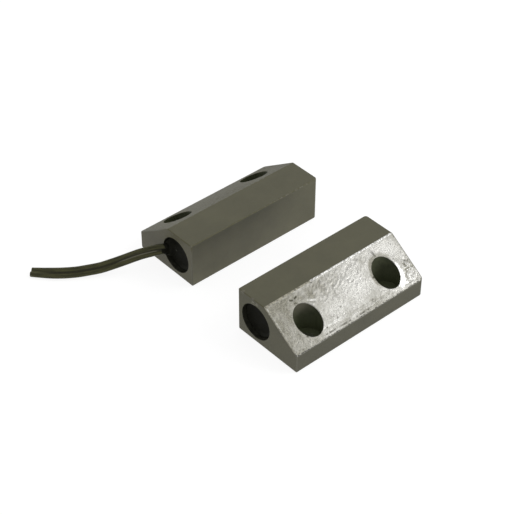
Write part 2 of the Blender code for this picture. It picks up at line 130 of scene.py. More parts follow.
# Marks on the magnet half's slope, in millimetres: from and to, along and down from the ridge,
# then their half width, their depth and how dark they are
SLOPE_MARKS = (
    (8.1, 1.85, 8.8, 2.20, 0.42, 0.05, 1.0),
    (9.7, 2.05, 10.5, 1.80, 0.42, 0.05, 1.0),
    (8.8, 3.20, 9.4, 3.45, 0.34, 0.05, 0.8),
    (9.5, 2.15, 10.1, 2.15, 0.25, 0.04, 0.6),
    (12.6, 4.80, 14.8, 5.90, 0.22, 0.05, 0.45),
    (12.6, 4.35, 14.8, 5.40, 0.28, -0.05, 0.0),
    (17.1, 0.30, 17.3, 0.50, 0.35, 0.05, 1.0),
    (39.75, 0.9, 40.0, 2.00, 0.50, 0.08, 0.3),
    (40.0, 2.0, 40.2, 3.30, 0.50, 0.09, 0.6),
    (35.5, 8.35, 35.9, 8.45, 0.40, 0.05, 0.9),
    (6.35, 12.80, 6.65, 13.10, 0.35, 0.05, 0.9),
    (38.0, 4.80, 38.3, 5.10, 0.32, 0.05, 0.8),
    (44.9, 6.60, 45.2, 6.80, 0.35, 0.05, 0.5),
    (28.7, 6.20, 28.9, 6.20, 0.28, 0.04, 0.8),
    (29.4, 6.00, 29.6, 6.00, 0.24, 0.04, 0.6),
    (30.2, 5.85, 30.3, 5.85, 0.26, 0.04, 0.7),
    (20.8, 10.75, 21.0, 10.75, 0.30, 0.05, 0.9),
    (17.2, 11.90, 17.3, 11.90, 0.30, 0.05, 0.9),
    (18.0, 12.90, 18.2, 12.90, 0.30, 0.05, 0.9),
    (16.4, 11.60, 16.5, 11.60, 0.24, 0.04, 0.6),
    (13.4, 13.70, 13.5, 13.70, 0.32, 0.05, 1.0),
    (31.0, 13.70, 31.3, 13.70, 0.50, 0.04, 0.4),
    (2.9, 15.40, 3.3, 15.40, 0.32, 0.03, 0.7),
    (11.8, 15.30, 28.4, 15.45, 0.30, 0.06, 0.9),
    (14.0, 13.60, 18.8, 13.50, 0.40, -0.07, 0.0),
    (28.0, 15.20, 37.0, 14.60, 0.24, 0.04, 0.35),
    (44.2, 15.20, 46.4, 15.10, 0.35, 0.04, 0.5),
    (47.2, 8.60, 49.4, 9.40, 0.60, 0.03, 0.35),
)

# Patches of painted shade and light on that slope's highlight, in millimetres: middle along and
# down from the ridge, reach along and down, and how much darker and duller the metal is there, or
# brighter below 0
SLOPE_SHADE_AND_LIGHT = (
    (-2.0, 7.0, 17.0, 30.0, 0.90),
    (13.0, 2.0, 9.0, 9.0, 0.35),
    (20.5, 2.2, 8.5, 4.2, 0.46),
    (34.5, 9.0, 4.0, 6.0, 0.20),
    (7.5, 1.0, 6.5, 5.0, 0.24),
    (13.5, 3.2, 4.0, 3.2, 0.27),
    (34.0, 0.0, 18.0, 2.8, 0.12),
    (26.0, 15.2, 22.0, 2.4, 0.25),
    (28.0, 14.6, 16.0, 4.6, 0.20),
    (9.8, 14.8, 3.8, 3.2, 0.26),
    (51.5, 8.0, 4.5, 22.0, 0.40),
    (48.5, 0.0, 4.0, 2.4, 0.20),
    (44.5, 3.4, 5.0, 4.5, -0.20),
    (3.0, 14.8, 4.0, 2.6, -0.10),
    (48.4, 10.6, 3.4, 3.2, 0.46),
    (45.6, 10.4, 3.0, 4.6, 0.34),
    (32.4, 12.9, 4.4, 2.2, 0.30),
    (35.8, 2.4, 3.0, 2.6, 0.28),
    (14.6, 10.2, 3.4, 5.0, 0.24),
    (29.0, 7.4, 7.5, 4.6, -0.24),
    (15.0, 4.4, 2.6, 2.2, 0.12),
    (22.0, 7.5, 11.0, 6.0, 0.10),
    (48.6, 0.6, 4.0, 3.4, 0.20),
    (1.0, 0.8, 4.0, 3.0, 0.20),
)

# Painted highlights on it, lines and spots, in millimetres: from and to, along and down from the
# ridge, then their half width and how bright they are
SLOPE_GLINTS = (
    (0.30, 0.6, 0.35, 1.3, 0.45, 0.34),
    (0.35, 1.5, 0.35, 9.0, 0.40, 0.16),
    (0.35, 9.0, 0.35, 15.8, 0.35, 0.06),
    (0.6, 0.35, 16.0, 0.35, 0.35, 0.09),
    (13.0, 4.30, 15.2, 5.30, 0.30, 0.36),
    (12.5, 13.6, 19.0, 13.3, 0.45, 0.22),
)

# Those millimetres in metres, and how long a mark is, in them, before it is broken up
MM = 0.001
LONG_MARK = 5.0

# Bands of painted shade round that slope's far well, where its highlight is dulled: how strong they
# are, their reach from the rim, and the turns in degrees at which each starts and is full. Then how
# far down the well's middle lies, and the crescent below it, burnished and painted bright as a
# highlight.
HALOS = (
    (0.75, 0.0013, -25.0, -50.0),
    (0.90, 0.0014, 125.0, 165.0),
)
HALO_CORE = 0.0005
WELL_DOWN = 0.0090
CRESCENT_TIP = 0.0004
CRESCENT_SWELL = 0.0006
CRESCENT_RAGGED = 0.0016
CRESCENT_FADE = 0.0006

# Skin of both slopes: the patches that are streaked or curled, laid out as the soft patches, the
# streaks' slant, the lines drawn along the low edge, and where in the noise each half's skin lies
STREAKED = (25.0, 2.0, 17.0, 9.0)
CURLED = (47.6, 12.3, 4.4, 6.5)
STREAK_COSINE = 0.83
STREAK_SINE = 0.56
STREAK_STRETCH = 0.45
DRAWN_STRETCH = 0.12
DRAWN_WIDTH = 0.0005
DRAWN_HEIGHT = 0.00006
SKIN_SEEDS = {"switch": 0.3, "magnet": 0.1}

# The floor, the softbox, the low fill and the camera
FLOOR_SIZE = 6.0
FLOOR_DROP = 0.0002
FLOOR_GLOW = 1.16
FLOOR_GLOW_SHARE = 0.74
SOFTBOX_AIM = (0.0, -0.047, 0.010)
SOFTBOX_TOWARD = (0.555, -0.400, 0.730)
FILL_PLACE = (0.16, -0.24, 0.07)
FILL_AIM = (0.01, -0.012, 0.008)
FILL_SIZE = 0.10
CAMERA_PLACE = (-0.22774, -0.27245, 0.28844)
CAMERA_VIEW = (0.50453, 0.57500, -0.64407)


def amount(name, default, description, **more):
    return bpy.props.FloatProperty(
        name=name, description=description, default=default, min=0.0, **more)


def length(name, default, description):
    return amount(name, default, description, precision=5, unit="LENGTH", subtype="DISTANCE")


def factor(name, default, description):
    return amount(name, default, description, max=1.0, subtype="FACTOR")


def colour(name, default, description):
    return bpy.props.FloatVectorProperty(
        name=name, description=description, default=default, min=0.0, max=1.0, size=3,
        subtype="COLOR")


class CastingSettings(bpy.types.PropertyGroup):
    """Edges and surface of the castings."""

    far_corner: length("Far end corners", 0.0010, "Rounding of the far end's upright corners")
    edge_break: length("Edge break", 0.0003, "Rounding of the other outer edges")
    mouth_break: length("Mouth break", 0.0001, "Rounding of the bore's mouth")
    rim_break: length("Rim break", 0.0002, "Rounding of the screw wells' rims")
    grid: length("Slope grid", 0.00025, "Spacing of the fine mesh on the slopes")
    pebble: length("Pebble size", 0.0008, "Width of one pebble of the cast skin")
    pebble_height: length("Pebble height", 0.00005, "Height of the pebbles")
    streak: length("Streak size", 0.00055, "Width of the flow streaks in the cast skin")
    streak_height: length("Streak height", 0.00016, "Height of the flow streaks")
    curl: length("Curl size", 0.0009, "Width of the curls at the far low corner")
    curl_height: length("Curl height", 0.0004, "Height of the curls")
    lacquered_share: factor("Under lacquer", 0.45, "Share of the pebbles that shows under lacquer")
    lacquer: colour("Lacquer", (0.082, 0.078, 0.042), "Olive lacquer on the castings")
    # The magnet half's slope is bright metal so that it carries the slope's highlight, in part a
    # painted highlight
    bare: colour("Bare metal", (0.370, 0.365, 0.342), "Bright cast skin of the magnet half's slope")
    # The worn colour is also given to the edges' painted highlights
    worn: colour("Worn edge", (0.140, 0.132, 0.100), "Lacquer where the edges are rubbed")


class LeadSettings(bpy.types.PropertyGroup):
    """Twin lead and the resin that it comes out of."""

    core: length("Core", 0.0016, "Diameter of one insulated core")
    pitch: length("Pitch", 0.00175, "Distance between the two cores")
    web: length("Web", 0.0010, "Thickness of the web between the cores")
    strand: length("Strand", 0.0002, "Diameter of one copper strand")
    dish: length("Dish", 0.0003, "How far the resin's face is dished")
    fillet: length("Fillet", 0.0013, "How far the resin creeps up the lead")
    smear: length("Smear", 0.0007, "How far beyond the housing the cores are smeared with resin")
    insulation: colour("Insulation", (0.051, 0.050, 0.019), "Olive grey insulation")
    resin: colour("Resin", (0.0085, 0.0085, 0.0060), "Black casting resin")
    copper: colour("Copper", (0.72, 0.42, 0.28), "Copper strands")


class StageSettings(bpy.types.PropertyGroup):
    """Floor, light and surroundings."""

    ambient: factor("Ambient", 0.62, "Light that the surroundings give")
    floor: factor("Floor", 0.90, "Lightness of the floor")
    key_radiance: amount("Key", 3.0, "Brightness of the softbox's face")
    key_size: length("Key size", 0.34, "Width of the softbox")
    key_distance: length("Key distance", 0.80, "Distance of the softbox")
    fill_radiance: amount("Fill", 6.5, "Brightness of the low fill's face")
    lens: amount("Lens", 103.35, "Focal length in millimetres")


class Half:
    """One half of the pair, in the frame."""

    def __init__(self, name, hand):
        self.name = name
        self.hand = hand
        self.body = name + "_half"
        self.low, self.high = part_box(name + "_housing")
        tall_face = self.low.y if hand > 0 else self.high.y
        corner = Vector((self.low.x, tall_face, self.low.z))
        self.matrix = Matrix.Translation(corner) @ Matrix.Diagonal((1.0, hand, 1.0, 1.0))
        self.size = self.high - self.low

    def place(self, along, inward, up):
        return self.matrix @ Vector((along, inward, up))


SWITCH = Half("switch", 1)
MAGNET = Half("magnet", -1)

# Scuffs in the lacquer, painted highlights at knocked corners, and a patch of a well's wall painted
# as lit: where, and their reach
SCUFFS = (
    (MAGNET.place(0.0, 0.0063, 0.0136), 0.0011),
    (MAGNET.place(0.0, 0.0078, 0.0141), 0.0008),
    (MAGNET.place(0.0, 0.0019, 0.0148), 0.0009),
)
KNOCK_HIGHLIGHTS = (
    (MAGNET.place(0.0, 0.0018, 0.0152), 0.0009),
    (MAGNET.place(0.0, 0.0060, 0.0152), 0.0008),
    (SWITCH.place(0.0, 0.0, 0.0152), 0.0007),
)
LIT_WALL_PATCH = (MAGNET.place(0.0110, 0.0142, 0.0132), 0.0050)

# Down the slope from its ridge, in a casting's own place
SLOPE_RUN = Vector((0.0, SWITCH.size.y - TOP_FLAT, LOW_SIDE - SWITCH.size.z))
SLOPE_LENGTH = SLOPE_RUN.length
DOWN_SLOPE = SLOPE_RUN.normalized()
SLOPE_NORMAL = Vector((0.0, -DOWN_SLOPE.z, DOWN_SLOPE.y))
RIDGE = Vector((0.0, TOP_FLAT, SWITCH.size.z))


# Selecting and finishing, as by hand

def clear_selection():
    active = bpy.context.view_layer.objects.active
    if active and active.mode != "OBJECT":
        bpy.ops.object.mode_set(mode="OBJECT")
    bpy.ops.object.select_all(action="DESELECT")
    bpy.context.view_layer.objects.active = None


def take(obj):
    clear_selection()
    obj.select_set(True)
    bpy.context.view_layer.objects.active = obj


def name_new(name):
    obj = bpy.context.view_layer.objects.active
    obj.name = name
    obj.data.name = name
    bpy.ops.object.transform_apply(location=True, rotation=True, scale=True)
    return obj


def add_block(name, size):
    clear_selection()
    bpy.ops.mesh.primitive_cube_add(size=1.0, location=size / 2)
    bpy.context.view_layer.objects.active.scale = size
    return name_new(name)


def add_cylinder(name, radius, start, end, facets):
    """A cylinder between two points on a line along X or along Z."""
    clear_selection()
    run = end - start
    lengthwise = abs(run.x) > abs(run.z)
    bpy.ops.mesh.primitive_cylinder_add(
        vertices=facets, radius=radius, depth=run.length, location=(start + end) / 2,
        rotation=(0.0, math.pi / 2, 0.0) if lengthwise else (0.0, 0.0, 0.0))
    return name_new(name)


def link_new(name, data):
    obj = bpy.data.objects.new(name, data)
    bpy.context.scene.collection.objects.link(obj)
    return obj


def edit(obj, kind, action="DESELECT"):
    """Go into edit mode with all faces, or edges, selected or none."""
    take(obj)
    bpy.ops.object.mode_set(mode="EDIT")
    bpy.ops.mesh.select_mode(type=kind)
    bpy.ops.mesh.select_all(action=action)
    return bmesh.from_edit_mesh(obj.data)


def leave_edit():
    bpy.ops.object.mode_set(mode="OBJECT")


def pick_faces(obj, test):
    """Go into edit mode with the faces selected whose middle and normal pass the test."""
    shape = edit(obj, "FACE")
    for face in shape.faces:
        if test(face.calc_center_median(), face.normal):
            face.select_set(True)
    bmesh.update_edit_mesh(obj.data)


def pick_edges(obj, test):
    """Go into edit mode with the edges selected whose two ends pass the test."""
    shape = edit(obj, "EDGE")
    for edge in shape.edges:
        if test(edge.verts[0].co, edge.verts[1].co):
            edge.select_set(True)
    bmesh.update_edit_mesh(obj.data)


def cut_away(obj, tool):
    step = obj.modifiers.new("Cut", "BOOLEAN")
    step.operation = "DIFFERENCE"
    step.solver = "EXACT"
    step.object = tool
    take(obj)
    bpy.ops.object.modifier_apply(modifier=step.name)
    bpy.data.objects.remove(tool)


def smooth(obj, degrees=35.0, weighted=True):
    take(obj)
    bpy.ops.object.shade_smooth_by_angle(angle=math.radians(degrees))
    if weighted:
        step = obj.modifiers.new("Weighted normals", "WEIGHTED_NORMAL")
        step.keep_sharp = True
        bpy.ops.object.modifier_apply(modifier=step.name)


def hand_in(obj, body, slot, *nodes):
    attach(obj, body)
    if nodes:
        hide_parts(*nodes)
    return obj


# Finishes

def tinted(base, *shares):
    return tuple(min(1.0, channel * share) for channel, share in zip(base, shares))


def shade_of(base, share):
    return tinted(base, share, share, share)


class Nodes:
    """A node tree, and the nodes that are added to it."""

    def __init__(self, tree):
        self.tree = tree

    def node(self, kind, inputs=None, **settings):
        made = self.tree.nodes.new(kind)
        for name, value in settings.items():
            setattr(made, name, value)
        for key, value in (inputs or {}).items():
            self.feed(made.inputs[key], value)
        return made

    def feed(self, socket, value):
        if isinstance(value, bpy.types.NodeSocket):
            self.tree.links.new(value, socket)
        else:
            socket.default_value = value

    def span(self, value, low, high, to_low=0.0, to_high=1.0):
        """The value between low and high, spread over the second pair."""
        return self.node("ShaderNodeMapRange", {
            "From Min": low, "From Max": high, "To Min": to_low, "To Max": to_high,
            "Value": value}).outputs["Result"]

    def combine(self, operation, first, second):
        return self.node("ShaderNodeMath", {0: first, 1: second}, operation=operation).outputs[0]

    def times(self, first, second):
        return self.combine("MULTIPLY", first, second)

    def seen_or_reflected(self, other, seen):
        """One number where a ray comes from the camera, a reflection or glass, else the other."""
        rays = self.node("ShaderNodeLightPath").outputs
        total = self.combine("MAXIMUM", rays["Is Camera Ray"], rays["Is Glossy Ray"])
        total = self.combine("MAXIMUM", total, rays["Is Transmission Ray"])
        return self.span(total, 0.0, 1.0, other, seen)


class Finish(Nodes):
    """A Principled material and the nodes that feed it."""

    def __init__(self, name, base, **sockets):
        self.material = bpy.data.materials.new(name)
        self.material.use_nodes = True
        self.material.diffuse_color = (*base, 1.0)
        super().__init__(self.material.node_tree)
        self.shader = self.tree.nodes["Principled BSDF"].inputs
        self.feed(self.shader["Base Color"], (*base, 1.0))
        self.where = self.node("ShaderNodeTexCoord").outputs["Object"]
        for socket, value in sockets.items():
            self.feed(self.shader[socket.replace("_", " ")], value)

    def noise(self, size, detail=3.0, roughness=0.5, where=None, stretch=None):
        """Cloudy noise whose features are about the given size across, in metres."""
        place = where or self.where
        if stretch:
            mapping = self.node("ShaderNodeMapping", {"Scale": stretch, "Vector": place})
            place = mapping.outputs["Vector"]
        return self.node("ShaderNodeTexNoise", {
            "Scale": 1.0 / size, "Detail": detail, "Roughness": roughness,
            "Vector": place}).outputs["Fac"]

    def attribute(self, name):
        return self.node("ShaderNodeAttribute", attribute_name=name).outputs["Fac"]

    def along(self, letter, low, high, *spread):
        """The place along one axis of the frame, from low to high, spread."""
        place = self.node("ShaderNodeSeparateXYZ", {"Vector": self.where}).outputs[letter]
        return self.span(place, low, high, *spread)

    def at_face(self, letter, place):
        """1 on the outer face that lies at a place along an axis, 0 further in."""
        return self.along(letter, place + 0.0004, place + 0.0002)

    def near(self, place, reach):
        """1 at a place in the frame, falling to 0 at the given reach."""
        away = self.node("ShaderNodeVectorMath", {0: self.where, 1: place}, operation="DISTANCE")
        return self.span(away.outputs["Value"], reach, reach * 0.3)

    def mix(self, share, first, second):
        first, second = (
            colour if isinstance(colour, bpy.types.NodeSocket) else (*colour, 1.0)
            for colour in (first, second))
        return self.node("ShaderNodeMix", {"Factor": share, 6: first, 7: second},
                         data_type="RGBA").outputs[2]

    def shades(self, share, base, low, high):
        """A mix of two shades of a colour."""
        return self.mix(share, shade_of(base, low), shade_of(base, high))

    def paint(self, tone):
        self.feed(self.shader["Base Color"], tone)

    def use(self, tone, roughness, height, relief):
        """Feed the shader a colour, a roughness and a relief, and give the material."""
        self.paint(tone)
        self.feed(self.shader["Roughness"], roughness)
        bump = self.node("ShaderNodeBump", {"Strength": 1.0, "Distance": relief, "Height": height})
        self.feed(self.shader["Normal"], bump.outputs["Normal"])
        return self.material


def lacquer(name, base, grain=0.000012, gloss=(0.43, 0.54)):
    """Thin satin lacquer over a casting: faint clouds, fine orange peel. With it comes a function
    that gives its clouded colour, tinted."""
    made = Finish(name, base, Specular_IOR_Level=0.42)
    clouds = made.span(made.noise(0.006, detail=4.0), 0.3, 0.7)
    fine = made.noise(0.0005)
    blend = made.times(clouds, made.span(fine, 0.25, 0.75, 0.6, 1.0))

    def clouded(*tint):
        return made.shades(blend, tinted(base, *tint), 0.90, 1.12)

    made.use(clouded(1.0, 1.0, 1.0), made.span(fine, 0.3, 0.7, *gloss),
             made.noise(0.00035, detail=4.0, roughness=0.6), grain)
    return made, clouded


def edge_wear_and_highlight_finish(base, worn):
    """An edge with painted highlights, in part rubbed lacquer: lighter in broken spots, and at
    knocked corners.
    """
    made = Finish("rubbed edge and painted highlight", base, Specular_IOR_Level=0.25)
    # Painted highlight in broken spots, in part rubbed lacquer, fewer at the lead end, and full at
    # the knocked corners
    spots = made.span(made.noise(0.0011, detail=4.0, roughness=0.65), 0.50, 0.66)
    spots = made.times(spots, made.along("X", -0.002, 0.008, 0.35, 1.0))
    for place, reach in KNOCK_HIGHLIGHTS:
        spots = made.combine("MAXIMUM", spots, made.near(place, reach))
    # Painted highlight: below the top the edge is a light band, along the top a little lighter than
    # the lacquer
    painted_edge_light = made.mix(made.along("Z", 0.0120, 0.0145), (0.138, 0.134, 0.102), shade_of(base, 1.1))
    return made.use(made.mix(spots, painted_edge_light, worn), made.span(spots, 0.0, 1.0, 0.5, 0.38),
                    made.noise(0.0004), 0.00002)


def switch_finish(base):
    """The switch half's lacquer, with painted shade: its tall face darker along the top, save at
    the far end, and its lead end face darker.
    """
    made, clouded = lacquer("switch lacquer and painted shade", base)
    # Painted light and shade: the tall face lighter low down and darker along the top, save at the
    # far end
    painted_gradient = made.mix(made.along("Z", 0.0010, 0.0140), clouded(1.72, 1.72, 1.98),
                      clouded(0.64, 0.64, 0.65))
    share = made.times(made.at_face("Y", SWITCH.low.y), made.along("X", 0.020, 0.004))
    tone = made.mix(share, clouded(1.0, 1.0, 1.0), painted_gradient)
    # Painted shade: the lead end face is a darker, warmer copy of the lacquer
    made.paint(made.mix(made.at_face("X", SWITCH.low.x), tone, clouded(0.91, 0.88, 0.80)))
    return made.material


def magnet_half_finish(base, worn):
    """The magnet half's lacquer: painted shade on its low side and its lead end face, and scuffed
    in some places.
    """
    made, clouded = lacquer("magnet lacquer and painted shade", base)
    # Painted shade: darker copies of the lacquer on the low side and on the lead end face
    tone = made.mix(made.at_face("Y", MAGNET.low.y), clouded(1.0, 1.0, 1.0),
                    clouded(0.68, 0.68, 0.68))
    tone = made.mix(made.at_face("X", MAGNET.low.x), tone, clouded(0.92, 0.91, 0.84))
    strokes = made.span(made.noise(0.00035, stretch=(1.0, 0.6, 1.4)), 0.46, 0.56)
    for place, reach in SCUFFS:
        tone = made.mix(made.times(made.near(place, reach), strokes), tone, worn)
    made.paint(tone)
    return made.material


def bare_slope_finish(bare, olive):
    """Bright cast skin that carries the slope's highlight: pebbled, with painted shade and a
    rougher veil, painted highlights, and dark in its pits.
    """
    made = Finish("bright cast skin with painted highlight", bare, Metallic=1.0)
    wear = made.attribute("wear")
    dull = made.attribute("dull")
    grain = made.noise(0.0005, detail=4.0, roughness=0.65)
    fine = made.span(made.noise(0.00035, roughness=0.6), 0.36, 0.64)
    # Painted shade: the veil darkens the metal as well as roughening it
    tone = made.mix(dull, made.shades(made.span(grain, 0.34, 0.66), bare, 0.85, 1.15),
                    made.shades(fine, tinted(bare, 1.02, 1.0, 0.88), 0.35, 0.63))
    # Painted highlight: mixed towards near white
    tone = made.mix(made.attribute("painted_highlight"), tone, (0.85, 0.85, 0.83))
    tone = made.mix(wear, tone, shade_of(olive, 0.4))
    rough = made.span(grain, 0.3, 0.7, 0.22, 0.34)
    for cause, rougher in ((dull, 0.16), (wear, 0.2)):
        rough = made.combine("ADD", rough, made.times(cause, rougher))
    return made.use(tone, rough, grain, 0.00014)


def bright_edge_finish(bare):
    """Border of the bare slope: burnished and painted bright as a highlight along the ridge away
    from the lead end, painted shade along the low edge, and a veiled tone elsewhere.
    """
    made = Finish("bright edge with painted highlight", bare, Metallic=1.0)
    nicks = made.span(made.noise(0.0006, roughness=0.6), 0.42, 0.56)
    clear = made.times(made.along("X", -0.0094, -0.0090), made.along("Z", 0.0120, 0.0140))
    # Painted shade along the low edge; elsewhere a softer, veiled tone
    veiled = made.mix(made.along("Z", 0.0070, 0.0060),
                      made.shades(nicks, tinted(bare, 1.03, 1.0, 0.86), 0.45, 0.85),
                      made.shades(nicks, bare, 0.12, 0.38))
    # Painted highlight: near white along the ridge
    bright = made.mix(nicks, shade_of(bare, 0.9), (0.82, 0.82, 0.79))
    return made.use(made.mix(clear, veiled, bright), made.span(nicks, 0.0, 1.0, 0.5, 0.32),
                    nicks, 0.00001)


def wall_finish(base):
    """Inside of the wells: the same casting, rougher, its lacquer painted darker as the wells'
    shade, and painted lighter as light where it is deep and at the top of the magnet half's near
    well."""
    made = Finish("well wall with painted light and shade", base, Specular_IOR_Level=0.30)
    tone = made.shades(made.span(made.noise(0.0016, detail=4.0), 0.3, 0.7), base, 0.7, 1.15)
    # Painted light: lighter low in the wells
    tone = made.mix(made.along("Z", 0.0090, 0.0045), tone, shade_of(base, 1.7))
    # Painted light: a lit patch at the top of the magnet half's near well
    tone = made.mix(made.near(*LIT_WALL_PATCH), tone, (0.098, 0.092, 0.066))
    return made.use(tone, 0.6, made.noise(0.0005), 0.00002)


def resin_finish(name, base):
    made = Finish(name, base, Specular_IOR_Level=0.03)
    ripple = made.noise(0.0012)
    tone = made.shades(made.span(ripple, 0.35, 0.7), base, 0.8, 1.5)
    # Painted highlight: the raised spot, and painted light on the resin's rim along the bore's wall
    tone = made.mix(made.attribute("resin_highlight"), tone, (0.052, 0.055, 0.045))
    return made.use(tone, made.span(ripple, 0.3, 0.7, 0.45, 0.7), ripple, 0.00004)


def insulation_finish(base):
    """Drawn plastic: streaks that run along the lead, painted shade in the groove between its
    cores, and a painted highlight line beside the groove."""
    made = Finish("lead insulation with painted shade and highlight", base, Specular_IOR_Level=0.18)
    along = made.node("ShaderNodeTexCoord").outputs["UV"]
    streaks = made.noise(1.0, 4.0, 0.6, where=along, stretch=(1.5, 13.0, 1.0))
    spots = made.noise(0.0009)
    blend = made.times(made.span(streaks, 0.38, 0.64), made.span(spots, 0.2, 0.8, 0.6, 1.0))
    tone = made.shades(blend, base, 0.52, 1.60)
    # Painted shade in the groove between the cores, and a painted highlight line beside it
    tone = made.mix(made.attribute("groove"), tone, (0.014, 0.013, 0.004))
    tone = made.mix(made.span(made.attribute("highlight_line"), 0.2, 1.0), tone, (0.16, 0.155, 0.11))
    return made.use(tone, made.span(spots, 0.3, 0.7, 0.34, 0.5), streaks, 0.00003)


def plain_finish(name, base, roughness, metallic=0.0, size=0.0012, relief=0.00001, **sockets):
    """A hidden piece's finish: slight clouds in colour and gloss, with a fine grain."""
    made = Finish(name, base, Metallic=metallic, **sockets)
    clouds = made.noise(size, detail=4.0)
    return made.use(made.shades(made.span(clouds, 0.3, 0.7), base, 0.85, 1.12),
                    made.span(clouds, 0.3, 0.7, roughness * 0.85, roughness * 1.2),
                    made.noise(size / 4), relief)


def magnet_finish():
    """Ground along its length, with grinding lines."""
    made = Finish("ground magnet", (0.33, 0.32, 0.31), Metallic=1.0)
    lines = made.noise(0.0004, stretch=(0.03, 1.0, 1.0))
    return made.use(made.mix(lines, (0.26, 0.25, 0.24), (0.40, 0.39, 0.38)),
                    made.span(lines, 0.3, 0.7, 0.28, 0.45), lines, 0.000008)


# Castings

def off_slope(point):
    return abs((point - RIDGE).dot(SLOPE_NORMAL))


def off_screw(point, along):
    """Distance from the axis of the screw hole at a place along."""
    return math.hypot(point.x - along, point.y - SCREW_INWARD)


def off_near_screw(point):
    return min(off_screw(point, along) for along in SCREW_ALONG)


def off_bore(point):
    return math.hypot(point.y - BORE_INWARD, point.z - BORE_UP)


def cast_block(settings, finishes):
    """The plain block in its own place: sloped, its corners and edges rounded."""
    block = add_block("casting", SWITCH.size)
    for finish in finishes:
        block.data.materials.append(finish)
    edit(block, "FACE", "SELECT")
    bpy.ops.mesh.bisect(
        plane_co=RIDGE, plane_no=SLOPE_NORMAL, use_fill=True, clear_outer=True)
    leave_edit()
    pick_faces(block, lambda middle, normal: off_slope(middle) < TOUCHING)
    block.active_material_index = SLOPE
    bpy.ops.object.material_slot_assign()
    leave_edit()
    middle = SWITCH.size.x / 2
    pick_edges(block, lambda a, b: (a - b).xy.length < TOUCHING and a.x > middle)
    bpy.ops.mesh.bevel(offset=settings.far_corner, segments=6, affect="EDGES", material=LACQUER)
    bpy.ops.mesh.select_all(action="DESELECT")
    bpy.ops.mesh.edges_select_sharp(sharpness=SHARP_TURN)
    bpy.ops.mesh.bevel(offset=settings.edge_break, segments=3, affect="EDGES", material=EDGE)
    leave_edit()
    far = SWITCH.size.x - settings.far_corner
    for face in block.data.polygons:
        beside = off_slope(face.center) < settings.edge_break * 0.6
        if face.material_index == EDGE and beside and face.center.x < far:
            face.material_index = SLOPE_EDGE
    return block


def drill(block, settings):
    """Bore, counterbores and screw holes, with their rims broken."""
    start = Vector((-OVERRUN, BORE_INWARD, BORE_UP))
    end = Vector((BORE_DEPTH, BORE_INWARD, BORE_UP))
    cut_away(block, add_cylinder("bore", BORE_RADIUS, start, end, BORE_FACETS))
    for along in SCREW_ALONG:
        seat = Vector((along, SCREW_INWARD, SEAT_UP))
        over = Vector((along, SCREW_INWARD, SWITCH.size.z + OVERRUN))
        under = Vector((along, SCREW_INWARD, -OVERRUN))
        cut_away(block, add_cylinder("counterbore", COUNTERBORE_RADIUS, seat, over,
                                     COUNTERBORE_FACETS))
        cut_away(block, add_cylinder("screw hole", SCREW_HOLE_RADIUS, under, over,
                                     SCREW_HOLE_FACETS))
    for face in block.data.polygons:
        middle = face.center
        deep = SEAT_UP / 2 < middle.z and off_near_screw(middle) < COUNTERBORE_RADIUS
        through = off_near_screw(middle) < SCREW_HOLE_RADIUS
        if (deep or through) and off_slope(middle) > TOUCHING:
            face.material_index = HOLE_WALL
        if off_bore(middle) < BORE_RADIUS and TOUCHING < middle.x < BORE_DEPTH + TOUCHING:
            face.material_index = BORE_SKIN
    rims = (
        (lambda point: point.x, off_bore, BORE_RADIUS, settings.mouth_break, BORE_SKIN),
        (off_slope, off_near_screw, COUNTERBORE_RADIUS, settings.rim_break, SLOPE),
        (lambda point: point.z, off_near_screw, SCREW_HOLE_RADIUS, settings.rim_break, EDGE),
    )
    for off_face, off_axis, radius, width, slot in rims:
        pick_edges(block, lambda *ends: all(
            abs(off_face(end)) < TOUCHING and abs(off_axis(end) - radius) < 2 * TOUCHING
            for end in ends))
        bpy.ops.mesh.bevel(offset=width, segments=3, affect="EDGES", material=slot)
        leave_edit()


def grid_slope(block, spacing):
    """Cut the slope into a fine grid, so that its cast skin can be modelled."""
    cuts = [(Vector((step * spacing, 0.0, 0.0)), Vector((1.0, 0.0, 0.0)))
            for step in range(1, int(SWITCH.size.x / spacing))]
    cuts += [(RIDGE + DOWN_SLOPE * step * spacing, DOWN_SLOPE)
             for step in range(1, int(SLOPE_LENGTH / spacing))]
    edit(block, "FACE")
    block.active_material_index = SLOPE
    for place, normal in cuts:
        bpy.ops.mesh.select_all(action="DESELECT")
        bpy.ops.object.material_slot_select()
        bpy.ops.mesh.bisect(plane_co=place, plane_no=normal)
    leave_edit()


def eased(value, low, high):
    """0 at low and 1 at high, with a soft start and end."""
    share = max(0.0, min(1.0, (value - low) / (high - low)))
    return share * share * (3.0 - 2.0 * share)


def uneven(along, down, layer, size):
    """Smooth noise over a face, between about -1 and 1, whose features are the given size."""
    return noise.noise(Vector((along, down, layer)) / size)


def on_line(along, down, line, half_width):
    """1 on a line across the slope, falling to 0 at its half width."""
    start = Vector(line[:2]) * MM
    run = Vector(line[2:]) * MM - start
    here = Vector((along, down)) - start
    share = max(0.0, min(1.0, here.dot(run) / run.length_squared))
    return eased((here - run * share).length, half_width * MM, 0.0)


def in_patch(along, down, area):
    """1 in the middle of a soft patch of the slope, 0 at its border."""
    middle_along, middle_down, reach_along, reach_down = area
    reach = math.hypot((along / MM - middle_along) / reach_along,
                       (down / MM - middle_down) / reach_down)
    return eased(reach, 1.0, 0.25)


